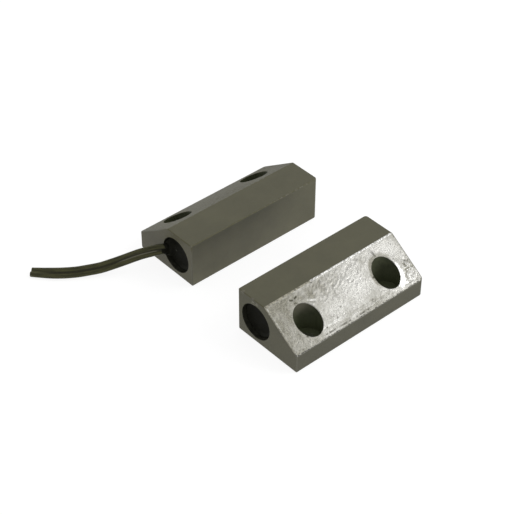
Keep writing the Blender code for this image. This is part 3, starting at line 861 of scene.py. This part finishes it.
def cast_skin(along, down, settings, seed):
    """Relief of the cast skin, the painted shade in its hollows and the painted glint on its
    crests:
    pebbles, slanting flow streaks, curls at the far low corner and drawn lines along the low edge."""
    here = Vector((along, down, seed))
    pebbles = 0.6 - noise.voronoi(here / settings.pebble)[0][0]
    with_streak = (along * STREAK_COSINE - down * STREAK_SINE) * STREAK_STRETCH
    across_streak = along * STREAK_SINE + down * STREAK_COSINE
    streaks = uneven(with_streak, across_streak, seed, settings.streak)
    streaks *= 0.40 + in_patch(along, down, STREAKED) + 0.2 * eased(along, 0.030, 0.050)
    curls = 0.22 - abs(uneven(along, down, seed, settings.curl))
    curly = in_patch(along, down, CURLED)
    drawn = uneven(along * DRAWN_STRETCH, down, seed, DRAWN_WIDTH) * eased(along, 0.008, 0.014)
    drawn *= eased(down, 0.0128, 0.0142) * eased(down, 0.0162, 0.0154)
    relief = (pebbles * settings.pebble_height + streaks * settings.streak_height
              + curls * curly * settings.curl_height + drawn * DRAWN_HEIGHT)
    # Painted shade in the hollows of the streaks, curls and drawn lines, and a painted glint on the
    # curls' crests
    relief_shade = -0.35 * streaks - 1.3 * curls * curly - 0.5 * drawn
    glint = 0.42 * curly * eased(curls, 0.09, 0.20)
    return relief, relief_shade, glint


def round_far_well(along, down, place):
    """The halo of painted shade above the far screw well, and the crescent below it, burnished and
    painted bright as a highlight.
    """
    ring = off_screw(place, SCREW_ALONG[1]) - COUNTERBORE_RADIUS
    ring += 0.0003 * uneven(along, down, 3.0, 0.0015)
    turn = math.degrees(math.atan2(down - WELL_DOWN, along - SCREW_ALONG[1]))
    lower = turn if turn > -100.0 else turn + 360.0
    # Painted shade: the bands above the far well
    halo = max(strength * eased(ring, reach, HALO_CORE) * eased(lower, start, full)
               for strength, reach, start, full in HALOS)
    ragged = CRESCENT_SWELL + CRESCENT_RAGGED * uneven(along, down, 6.0, 0.0008)
    width = (CRESCENT_TIP + CRESCENT_SWELL * eased(turn, 0.0, 35.0)
             + ragged * eased(turn, 28.0, 55.0))
    width *= 1.0 - 0.5 * eased(turn, 52.0, 72.0)
    # Painted highlight: the crescent below the far well
    crescent = eased(ring, width + CRESCENT_FADE, width)
    crescent *= eased(turn, -22.0, 0.0) * eased(turn, 82.0, 62.0)
    return halo, crescent


def slope_marks(along, down):
    """How deep the marks are at a place on the bare slope, and how dark."""
    broken = max(0.0, min(1.0, 0.5 + 2.2 * uneven(along, down, 4.0, 0.0009)))
    deep = 0.0
    worn = 0.0
    for *line, half_width, depth, dark in SLOPE_MARKS:
        dent = on_line(along, down, line, half_width)
        if line[2] - line[0] > LONG_MARK:
            dent *= broken
        deep += dent * depth * MM
        worn = max(worn, dent * dark)
    return deep, worn


def slope_tones(along, down, relief_shade, glint):
    """How darkened and roughened by painted shade, and how bright with painted highlights, the bare
    slope is at a place.
    """
    tone = sum(duller * in_patch(along, down, area) for *area, duller in SLOPE_SHADE_AND_LIGHT)
    # Painted highlight where the patches are below 0
    glint = max(glint, -0.3 * tone)
    # Painted shade along the low edge
    tone += relief_shade + 0.45 * eased(down, SLOPE_LENGTH - 0.0007, SLOPE_LENGTH)
    tone += 0.26 * uneven(along, down, 7.0, 0.0021)
    tone += 0.14 * uneven(along, down, 9.0, 0.0007)
    # Painted highlights along the listed lines and spots
    for *line, half_width, bright in SLOPE_GLINTS:
        lit = bright * on_line(along, down, line, half_width)
        glint = max(glint, lit * (1.0 + 1.8 * uneven(along, down, 5.0, 0.0009)))
    return tone, glint


def texture_slope(block, settings, half):
    """Raise the slope's skin inside its border, with its marks on the magnet half's bare slope."""
    mesh = block.data
    seed = SKIN_SEEDS[half.name]
    inside = set()
    outside = set()
    for face in mesh.polygons:
        (inside if face.material_index == SLOPE else outside).update(face.vertices)
    # Three layers: the marks' wear, painted shade with a rougher veil, and painted highlight
    for name in ("wear", "dull", "painted_highlight"):
        mesh.attributes.new(name, "FLOAT", "POINT")
    wear = mesh.attributes["wear"].data
    dull = mesh.attributes["dull"].data
    painted_highlight = mesh.attributes["painted_highlight"].data
    for index in inside:
        place = mesh.vertices[index].co
        along = place.x
        down = (place - RIDGE).dot(DOWN_SLOPE)
        relief, relief_shade, glint = cast_skin(along, down, settings, seed)
        if half is MAGNET:
            deep, wear[index].value = slope_marks(along, down)
            tone, glint = slope_tones(along, down, relief_shade, glint)
            halo, crescent = round_far_well(along, down, place)
            # Painted shade and painted highlight on the bare slope
            dull[index].value = max(-0.3, min(1.3, max(tone, halo)))
            painted_highlight[index].value = max(crescent, glint)
            relief = (relief - deep) * (1.0 - 0.8 * max(halo, crescent))
        else:
            relief *= settings.lacquered_share
        if index not in outside:
            mesh.vertices[index].co += SLOPE_NORMAL * relief


def set_in_place(block, half):
    """Move a finished casting to its half's place, mirrored for the other hand."""
    take(block)
    block.matrix_world = half.matrix
    bpy.ops.object.transform_apply(location=True, rotation=True, scale=True)
    edit(block, "FACE", "SELECT")
    bpy.ops.mesh.normals_make_consistent(inside=False)
    leave_edit()


class CONTACT_OT_castings(bpy.types.Operator):
    """Model the cast block once, copy it in the other hand and give each slope its skin"""

    bl_idname = "contact.castings"
    bl_label = "Castings"

    def execute(self, context):
        settings = context.scene.contact_casting
        olive = tuple(settings.lacquer)
        worn = tuple(settings.worn)
        bare = tuple(settings.bare)
        pebbled, _ = lacquer("pebbled lacquer", shade_of(olive, 0.92), 0.00003, (0.5, 0.64))
        edge = edge_wear_and_highlight_finish(olive, worn)
        wall = wall_finish(WELL_SHADE_COLOUR)
        # The bores' walls and mouth rounding: dark as smeared resin and as painted shade
        smeared = resin_finish("smeared and shaded bore", BORE_SMEAR_AND_SHADE_COLOUR)
        block = cast_block(
            settings, (switch_finish(olive), pebbled.material, edge, edge, wall, smeared))
        drill(block, settings)
        grid_slope(block, settings.grid)
        other = block.copy()
        other.data = block.data.copy()
        context.scene.collection.objects.link(other)
        for slot, finish in ((LACQUER, magnet_half_finish(olive, shade_of(worn, 1.6))),
                             (SLOPE, bare_slope_finish(bare, olive)),
                             (SLOPE_EDGE, bright_edge_finish(bare))):
            other.material_slots[slot].material = finish
        for half, piece in ((SWITCH, block), (MAGNET, other)):
            piece.name = half.name + "_casting"
            piece.data.name = piece.name
            texture_slope(piece, settings, half)
            set_in_place(piece, half)
            smooth(piece)
            hand_in(piece, half.body, "cast_metal", half.name + "_housing")
        return {"FINISHED"}


# Resin

def on_highlight_spot(inward, up):
    """1 in the middle of the raised spot on the resin that is painted light as a highlight, 0
    outside it.
    """
    return eased(math.hypot(inward - HIGHLIGHT_SPOT_INWARD, up - HIGHLIGHT_SPOT_UP), 0.00042, 0.0002)


def resin_depth(inward, up, radius, half, settings):
    """How far the resin's face lies below its edge at the bore's wall."""
    reach = math.hypot(inward, up)
    depth = settings.dish * (1.0 - eased(reach, radius - 0.0012, radius))
    depth += 0.00004 * uneven(inward, up, half.hand, 0.0016)
    if half is SWITCH:
        lead = math.hypot(inward - (EXIT_INWARD - BORE_INWARD), (up + 0.0001) * 0.62)
        depth -= settings.fillet * eased(lead, 0.0023, 0.0011)
        for lump_inward, lump_up, size, height in RESIN_LUMPS:
            depth -= height * eased(math.hypot(inward - lump_inward, up - lump_up), size, 0.0)
        depth -= 0.00012 * on_highlight_spot(inward, up)
    return depth


def lit_resin_rim(across, up, radius):
    """Painted light on the resin's rim along the bore's wall: towards -Y and low."""
    reach = math.hypot(across, up)
    facing = -(0.92 * across + 0.38 * up) / max(reach, 1e-6)
    return eased(reach, radius - 0.0017, radius - 0.0004) * eased(facing, 0.15, 0.75)


def add_blob(resin):
    """A blob of resin that has run over the bore's rim under the lead."""
    middle = SWITCH.place(*BLOB_PLACE)
    clear_selection()
    bpy.ops.mesh.primitive_ico_sphere_add(subdivisions=3, radius=1.0, location=middle)
    bpy.context.view_layer.objects.active.scale = BLOB_SIZE
    blob = name_new("blob")
    for vertex in blob.data.vertices:
        swell = 1.0 + 0.5 * noise.noise(vertex.co / 0.0009)
        vertex.co = middle + (vertex.co - middle) * swell
        off_axis = math.hypot(vertex.co.y - SWITCH.low.y - BORE_INWARD, vertex.co.z - BORE_UP)
        if off_axis > BORE_RADIUS - 0.00015:
            vertex.co.x = min(vertex.co.x, SWITCH.low.x - 0.00002)
    take(resin)
    blob.select_set(True)
    bpy.ops.object.join()


class CONTACT_OT_resin(bpy.types.Operator):
    """Model the resin in the mouth of each bore, dished, with a fillet round the lead"""

    bl_idname = "contact.resin"
    bl_label = "Resin"

    def execute(self, context):
        settings = context.scene.contact_lead
        finish = resin_finish("potting resin with painted highlight", tuple(settings.resin))
        for half in (SWITCH, MAGNET):
            low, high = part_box(half.name + "_potting")
            radius = (high.z - low.z) / 2
            middle = (low + high) / 2
            start = Vector((low.x, middle.y, middle.z))
            end = Vector((high.x, middle.y, middle.z))
            resin = add_cylinder(half.name + "_resin", radius, start, end, BORE_FACETS)
            pick_faces(resin, lambda centre, normal: normal.x < -0.9)
            for _ in range(int(radius / RESIN_RING) - 1):
                bpy.ops.mesh.inset(thickness=RESIN_RING, depth=0.0)
            leave_edit()
            resin_highlight = resin.data.attributes.new("resin_highlight", "FLOAT", "POINT")
            for vertex in resin.data.vertices:
                if vertex.co.x < low.x + TOUCHING:
                    across = vertex.co.y - middle.y
                    inward = across * half.hand
                    up = vertex.co.z - middle.z
                    vertex.co.x += resin_depth(inward, up, radius, half, settings)
                    # Painted highlight on the switch half's raised spot, and painted light on each
                    # resin's rim
                    light = on_highlight_spot(inward, up) if half is SWITCH else 0.0
                    resin_highlight.data[vertex.index].value = max(light, 0.27 * lit_resin_rim(across, up, radius))
            if half is SWITCH:
                add_blob(resin)
            resin.data.materials.append(finish)
            smooth(resin, 50.0)
            hand_in(resin, half.body, "potting_resin", half.name + "_potting")
        return {"FINISHED"}


# Twin lead

def smooth_route(points, steps):
    """Points along a Catmull-Rom curve through the given ones, a few to each stretch."""
    path = []
    padded = [points[0] * 2 - points[1], *points, points[-1] * 2 - points[-2]]
    for before, start, end, after in zip(padded, padded[1:], padded[2:], padded[3:]):
        for step in range(steps):
            t = step / steps
            path.append(0.5 * (
                2 * start
                + (end - before) * t
                + (2 * before - 5 * start + 4 * end - after) * t ** 2
                + (3 * start - before - 3 * end + after) * t ** 3
            ))
    path.append(points[-1].copy())
    return path


def twin_section(settings, count=19):
    """Outline of the two joined cores, how deep each point lies in the groove, for the painted
    shade there, and where the lower core takes a painted highlight line beside it."""
    radius = settings.core / 2
    opening = math.asin(settings.web / 2 / radius)
    outline = []
    for side in (1, -1):
        for step in range(count + 1):
            angle = opening + (2 * math.pi - 2 * opening) * step / count
            across = side * (settings.pitch / 2 - radius * math.cos(angle))
            over = -side * radius * math.sin(angle)
            groove = 1.0 if step in (0, count) else 0.0
            highlight_line = 1.0 if side < 0 and step == count else 0.0
            outline.append((across, over, groove, highlight_line))
    return outline


def lead_frames(steps):
    """Middle, sideways, upright and lengthwise directions along the lead."""
    knots = [Vector((*SWITCH.place(-out, EXIT_INWARD + offset, up), math.radians(angle)))
             for out, offset, up, angle in LEAD_ROUTE]
    route = smooth_route(knots, steps)
    middles = [knot.xyz for knot in route]
    frames = []
    for number, knot in enumerate(route):
        before = middles[max(number - 1, 0)]
        after = middles[min(number + 1, len(middles) - 1)]
        run = (after - before).normalized()
        level = Vector((run.y, -run.x, 0.0)).normalized()
        upright = level.cross(run).normalized()
        if upright.z < 0.0:
            upright = -upright
        spread = level * math.cos(knot.w) + upright * math.sin(knot.w)
        frames.append((middles[number], spread, run.cross(spread).normalized(), run))
    return frames


def lengths_along(frames):
    """How far along the lead each frame lies."""
    travelled = [0.0]
    for (first, *_), (second, *_) in zip(frames, frames[1:]):
        travelled.append(travelled[-1] + (second - first).length)
    return travelled


def lead_rings(shape, outline, frames):
    """A ring of points at each frame, with the painted shade in its groove and the painted
    highlight line beside it.
    """
    groove_shade_layer = shape.verts.layers.float.new("groove")
    # Layer of the painted highlight line beside the groove
    worn = shape.verts.layers.float.new("highlight_line")
    rings = []
    for middle, spread, over, _ in frames:
        out = SWITCH.low.x - middle.x
        # How strong the painted highlight line and the groove's painted shade are, by distance out
        # from the housing
        rubbed = eased(out, 0.0012, 0.0035) * eased(out, 0.0145, 0.0100)
        groove_shade_strength = 0.15 + 0.75 * eased(out, 0.0325, 0.0265)
        ring = []
        for across, height, groove, highlight_line in outline:
            vertex = shape.verts.new(middle + spread * across + over * height)
            vertex[groove_shade_layer] = groove * groove_shade_strength
            vertex[worn] = highlight_line * rubbed
            ring.append(vertex)
        rings.append(ring)
    return rings


def sweep_lead(settings, frames, travelled):
    """The lead's skin, smeared with resin at its root, with its own map along and round it."""
    outline = twin_section(settings)
    shape = bmesh.new()
    rings = lead_rings(shape, outline, frames)
    layer = shape.loops.layers.uv.new("UVMap")
    count = len(outline)
    root = SWITCH.low.x - settings.smear
    for number, (first, second) in enumerate(zip(rings, rings[1:])):
        for index in range(count):
            after = (index + 1) % count
            face = shape.faces.new((first[index], first[after], second[after], second[index]))
            corners = ((number, index), (number, index + 1),
                       (number + 1, index + 1), (number + 1, index))
            for loop, (row, column) in zip(face.loops, corners):
                loop[layer].uv = (travelled[row] / 0.01, column / count)
            middle = face.calc_center_median()
            ragged = 0.0006 * noise.noise(middle / 0.0009)
            ragged += 0.0009 if index >= count // 2 else 0.0
            face.material_index = SMEARED if middle.x + ragged > root else INSULATED
    shape.faces.new(rings[0])
    shape.faces.new(rings[-1])
    bmesh.ops.recalc_face_normals(shape, faces=shape.faces)
    mesh = bpy.data.meshes.new("twin_lead")
    shape.to_mesh(mesh)
    shape.free()
    return mesh


def strand_bundle(settings, side):
    """The strands at the end of one core, about the lead's middle there."""
    shape = bmesh.new()
    radius = settings.strand / 2
    for number in range(STRANDS):
        angle = 2 * math.pi / (STRANDS - 1) * number
        out = 0.0 if number == STRANDS - 1 else settings.strand * 1.02
        place = Vector((side * settings.pitch / 2 + out * math.cos(angle),
                        out * math.sin(angle), STRAND_SHOWS - STRAND_LENGTH / 2))
        made = bmesh.ops.create_cone(
            shape, cap_ends=True, segments=10, radius1=radius, radius2=radius,
            depth=STRAND_LENGTH, matrix=Matrix.Translation(place))
        tips = [e for e in shape.edges
                if all(v in made["verts"] and v.co.z > 0.0 for v in e.verts)]
        bmesh.ops.bevel(shape, geom=tips, offset=radius * 0.3, segments=2,
                        affect="EDGES", clamp_overlap=True)
    return shape


class CONTACT_OT_twin_lead(bpy.types.Operator):
    """Sweep the twin lead along its route, with the copper strands at its cut end"""

    bl_idname = "contact.twin_lead"
    bl_label = "Twin lead"

    def execute(self, context):
        settings = context.scene.contact_lead
        frames = lead_frames(LEAD_STEPS)
        travelled = lengths_along(frames)
        lead = link_new("twin_lead", sweep_lead(settings, frames, travelled))
        lead.data.materials.append(insulation_finish(tuple(settings.insulation)))
        lead.data.materials.append(resin_finish("smeared root", tuple(settings.resin)))
        smooth(lead, 50.0, weighted=False)
        strands = self.strands(settings, frames[-1])
        hand_in(lead, "switch_half", "wire_insulation", "lead_core_front", "lead_core_rear")
        return {"FINISHED"}

    def strands(self, settings, end):
        """The strands in each core, cut off just past the insulation."""
        middle, spread, over, run = end
        finish = plain_finish("copper", tuple(settings.copper), 0.3, 1.0, 0.0004)
        turn = Matrix((spread, over, run)).transposed().to_4x4()
        pieces = []
        for side, name in ((-1, "front"), (1, "rear")):
            mesh = bpy.data.meshes.new("lead_strands_" + name)
            shape = strand_bundle(settings, side)
            shape.to_mesh(mesh)
            shape.free()
            mesh.transform(Matrix.Translation(middle) @ turn)
            mesh.materials.append(finish)
            obj = link_new(mesh.name, mesh)
            smooth(obj, 40.0, weighted=False)
            pieces.append(hand_in(obj, "switch_half", "copper"))
        return pieces


class CONTACT_OT_inner_finishes(bpy.types.Operator):
    """Finish the pieces inside the bores"""

    bl_idname = "contact.inner_finishes"
    bl_label = "Inner finishes"

    def execute(self, context):
        settings = context.scene.contact_lead
        finished = (
            (plain_finish("black moulding", (0.022, 0.022, 0.022), 0.45),
             "switch_capsule", "magnet_capsule"),
            (plain_finish("plated reed", (0.62, 0.58, 0.50), 0.28, 1.0, 0.0005),
             "reed_blade_front", "reed_blade_rear"),
            (plain_finish("solder", (0.60, 0.61, 0.63), 0.32, 1.0, 0.0006),
             "solder_joint_front", "solder_joint_rear"),
            (plain_finish("shrunk sleeve", (0.018, 0.018, 0.018), 0.5, size=0.0006),
             "joint_sleeve_front", "joint_sleeve_rear"),
            (plain_finish("bared copper", tuple(settings.copper), 0.3, 1.0, 0.0003),
             "bared_core_front", "bared_core_rear"),
            (plain_finish("core insulation", tuple(settings.insulation), 0.42),
             "inner_core_front", "inner_core_rear"),
            (plain_finish("silicone", (0.55, 0.52, 0.45), 0.55), "reed_buffer"),
            (plain_finish("green glass", (0.55, 0.78, 0.60), 0.04, size=0.002, relief=0.000002,
                          Transmission_Weight=0.9), "reed_glass"),
            (magnet_finish(), "bar_magnet"),
        )
        for finish, *names in finished:
            for name in names:
                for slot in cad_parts[name].material_slots:
                    slot.material = finish
        return {"FINISHED"}


# Stage

class CONTACT_OT_stage(bpy.types.Operator):
    """Set up the floor, the surroundings, the softbox and the camera"""

    bl_idname = "contact.stage"
    bl_label = "Stage"

    def execute(self, context):
        settings = context.scene.contact_stage
        self.add_floor(settings)
        self.add_surroundings(context.scene, settings)
        toward = Vector(SOFTBOX_TOWARD).normalized()
        self.add_panel("softbox", Vector(SOFTBOX_AIM) + toward * settings.key_distance,
                       Vector(SOFTBOX_AIM), settings.key_size, settings.key_radiance)
        self.add_panel("low_fill", Vector(FILL_PLACE), Vector(FILL_AIM), FILL_SIZE,
                       settings.fill_radiance)
        self.add_camera(context.scene, settings)
        context.scene.view_settings.view_transform = "Standard"
        return {"FINISHED"}

    def add_floor(self, settings):
        clear_selection()
        bpy.ops.mesh.primitive_plane_add(size=FLOOR_SIZE, location=(0.0, 0.0, -FLOOR_DROP))
        floor = name_new("floor")
        material = bpy.data.materials.new("pale floor")
        material.use_nodes = True
        nodes = Nodes(material.node_tree)
        nodes.tree.nodes.clear()
        paper = nodes.node("ShaderNodeBsdfDiffuse", {"Color": (*[settings.floor] * 3, 1.0)})
        glow = nodes.node("ShaderNodeEmission", {"Strength": FLOOR_GLOW})
        blend = nodes.node("ShaderNodeMixShader", {
            "Fac": nodes.seen_or_reflected(0.0, FLOOR_GLOW_SHARE),
            1: paper.outputs["BSDF"], 2: glow.outputs["Emission"]})
        nodes.node("ShaderNodeOutputMaterial", {"Surface": blend.outputs["Shader"]})
        floor.data.materials.append(material)

    def add_surroundings(self, scene, settings):
        scene.world = bpy.data.worlds.new("studio")
        scene.world.use_nodes = True
        nodes = Nodes(scene.world.node_tree)
        background = nodes.tree.nodes["Background"].inputs
        nodes.feed(background["Color"], (1.0, 1.0, 1.0, 1.0))
        nodes.feed(background["Strength"], nodes.seen_or_reflected(settings.ambient, 1.0))

    def add_panel(self, name, place, aim, size, radiance):
        """A square lamp whose face has the given brightness."""
        light = bpy.data.lights.new(name, "AREA")
        light.shape = "SQUARE"
        light.size = size
        light.energy = radiance * math.pi * size ** 2
        lamp = link_new(name, light)
        lamp.location = place
        lamp.rotation_euler = (aim - place).to_track_quat("-Z", "Y").to_euler()

    def add_camera(self, scene, settings):
        camera = link_new("camera", bpy.data.cameras.new("camera"))
        camera.data.lens = settings.lens
        camera.data.sensor_width = 36.0
        camera.location = CAMERA_PLACE
        camera.rotation_euler = Vector(CAMERA_VIEW).to_track_quat("-Z", "Y").to_euler()
        scene.camera = camera


class CONTACT_PT_sidebar(bpy.types.Panel):
    """Lists the steps that build the door contact"""

    bl_label = "Door contact"
    bl_idname = "CONTACT_PT_sidebar"
    bl_space_type = "VIEW_3D"
    bl_region_type = "UI"
    bl_category = "Door contact"

    def draw(self, context):
        for step in STEPS:
            self.layout.operator(step.bl_idname)


STEPS = (
    CONTACT_OT_stage,
    CONTACT_OT_twin_lead,
    CONTACT_OT_castings,
    CONTACT_OT_resin,
    CONTACT_OT_inner_finishes,
)
SETTINGS = {
    "contact_casting": CastingSettings,
    "contact_lead": LeadSettings,
    "contact_stage": StageSettings,
}


def register():
    for group in (*SETTINGS.values(), *STEPS, CONTACT_PT_sidebar):
        bpy.utils.register_class(group)
    for name, group in SETTINGS.items():
        setattr(bpy.types.Scene, name, bpy.props.PointerProperty(type=group))


def unregister():
    for name in SETTINGS:
        delattr(bpy.types.Scene, name)
    for group in (CONTACT_PT_sidebar, *reversed(STEPS), *SETTINGS.values()):
        bpy.utils.unregister_class(group)


def main():
    register()
    bpy.ops.contact.stage()
    bpy.ops.contact.twin_lead()
    bpy.ops.contact.castings()
    bpy.ops.contact.resin()
    bpy.ops.contact.inner_finishes()


if __name__ == "__main__":
    main()
